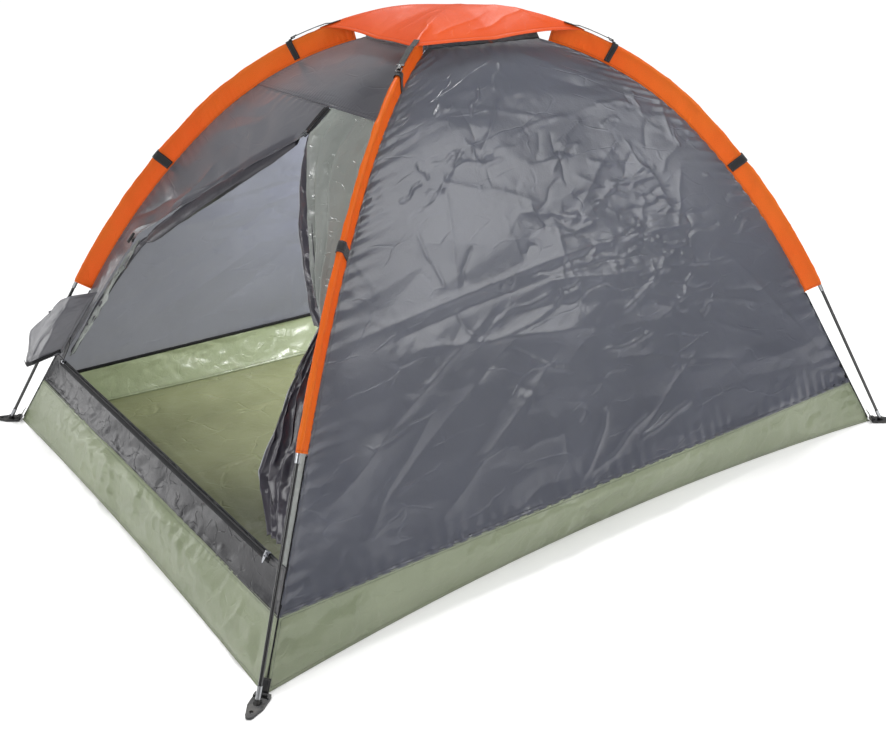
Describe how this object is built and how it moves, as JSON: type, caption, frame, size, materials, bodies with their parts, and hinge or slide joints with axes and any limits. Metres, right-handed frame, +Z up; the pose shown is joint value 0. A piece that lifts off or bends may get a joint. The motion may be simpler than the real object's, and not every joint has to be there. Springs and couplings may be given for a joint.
{
  "type": "dome tent on crossing poles",
  "caption": "Small dome tent on crossing flexible poles in orange sleeves, with a tarpaulin tub floor, a vent cap and a zipped door tied open.",
  "frame": {"origin": "on the ground at the middle of the footprint", "axes": "+Z up, Y along the long side, the door faces -Y"},
  "size_m": [1.5606, 2.126, 1.1651],
  "materials": {
    "floor_tarp": "woven polyethylene tarpaulin, satin",
    "tub_tarp": "woven polyethylene tarpaulin, crinkled and glossy",
    "wall_fabric": "silver-grey coated polyester with a soft sheen",
    "dark_fabric": "dark grey polyester",
    "black_tape": "black binding tape",
    "net": "black insect netting",
    "orange_fabric": "orange polyester, light sheen",
    "webbing": "black woven webbing",
    "elastic": "black woven elastic",
    "fibreglass": "black coated fibreglass tube",
    "steel": "plated steel",
    "black_plastic": "moulded black plastic",
    "zip_nylon": "black nylon zip coil and tape",
    "zip_metal": "nickel-plated zinc"
  },
  "bodies": {
    "tent": {"floor_sheet": "floor_tarp", "tub_front": "tub_tarp", "tub_right": "tub_tarp", "tub_rear": "tub_tarp", "tub_left": "tub_tarp", "corner_seams": "dark_fabric", "inner_tapes": "black_tape", "threshold": "dark_fabric", "front_panel": "wall_fabric", "front_strip_left": "wall_fabric", "front_strip_right": "wall_fabric", "wall_right": "wall_fabric", "wall_left": "wall_fabric", "wall_rear": "wall_fabric", "vent_mesh": "net", "sleeve_near": "orange_fabric", "sleeve_right": "orange_fabric", "sleeve_left": "orange_fabric", "sleeve_far": "orange_fabric", "guy_bands": "webbing", "ring_bands": "webbing", "strap_rings": "black_plastic", "pole_a": "fibreglass", "pole_b": "fibreglass", "ferrules_a": "steel", "ferrules_b": "steel", "pole_tips": "steel", "foot_pins": "steel", "feet": "black_plastic", "foot_webbings": "webbing", "threshold_zip": "zip_nylon", "door_zip": "zip_nylon", "flap_left_roll": "wall_fabric", "tie_loop": "webbing", "front_gusset": "wall_fabric", "gusset_hem": "zip_nylon"},
    "vent_cap": {"cap_cover": "orange_fabric", "cap_straps": "elastic", "cap_hooks": "black_plastic"},
    "top_slider": {"slider_top": "zip_metal"},
    "top_pull": {"pull_top": "zip_metal"},
    "left_slider": {"slider_left": "zip_metal"},
    "left_pull": {"pull_left": "black_plastic"},
    "right_slider": {"slider_right": "zip_metal"},
    "right_pull": {"pull_right": "zip_metal"},
    "toggle": {"tie_toggle": "black_plastic"},
    "right_flap": {"flap_right": "wall_fabric", "flap_right_hem": "zip_nylon"},
    "left_tail": {"flap_tail": "wall_fabric", "tail_hem": "black_tape"}
  },
  "joints": [
    {"name": "cap_lift", "type": "slide", "parent": "tent", "child": "vent_cap", "axis": [0, 0, 1], "range_m": [0, 0.25]},
    {"name": "top_slider_run", "type": "slide", "parent": "tent", "child": "top_slider", "axis": [0, 0.7499, 0.6615], "range_m": [0, 0.055]},
    {"name": "top_pull_swing", "type": "hinge", "parent": "top_slider", "child": "top_pull", "pos_m": [0.059, -0.47422, 0.91354], "axis": [-1, 0, 0], "range_deg": [0, 150]},
    {"name": "left_slider_run", "type": "slide", "parent": "tent", "child": "left_slider", "axis": [1, 0, 0], "range_m": [0, 0.52]},
    {"name": "left_pull_swing", "type": "hinge", "parent": "left_slider", "child": "left_pull", "pos_m": [-0.585, -0.90826, 0.21275], "axis": [1, 0, 0], "range_deg": [0, 150]},
    {"name": "right_slider_run", "type": "slide", "parent": "tent", "child": "right_slider", "axis": [-1, 0, 0], "range_m": [0, 0.52]},
    {"name": "right_pull_swing", "type": "hinge", "parent": "right_slider", "child": "right_pull", "pos_m": [0.59, -0.90826, 0.21275], "axis": [-1, 0, 0], "range_deg": [0, 150]},
    {"name": "toggle_turn", "type": "hinge", "parent": "tent", "child": "toggle", "pos_m": [-0.43938, -0.72685, 0.57611], "axis": [0, -0.8616, 0.5077], "range_deg": [-25, 25]},
    {"name": "flap_swing", "type": "hinge", "parent": "tent", "child": "right_flap", "pos_m": [0.47796, -0.68484, 0.60794], "axis": [0.3195, -0.436, -0.8413], "range_deg": [0, 20]},
    {"name": "tail_swing", "type": "hinge", "parent": "tent", "child": "left_tail", "pos_m": [-0.618, -0.89463, 0.22677], "axis": [0.3833, 0.4091, 0.8281], "range_deg": [0, 35]}
  ]
}
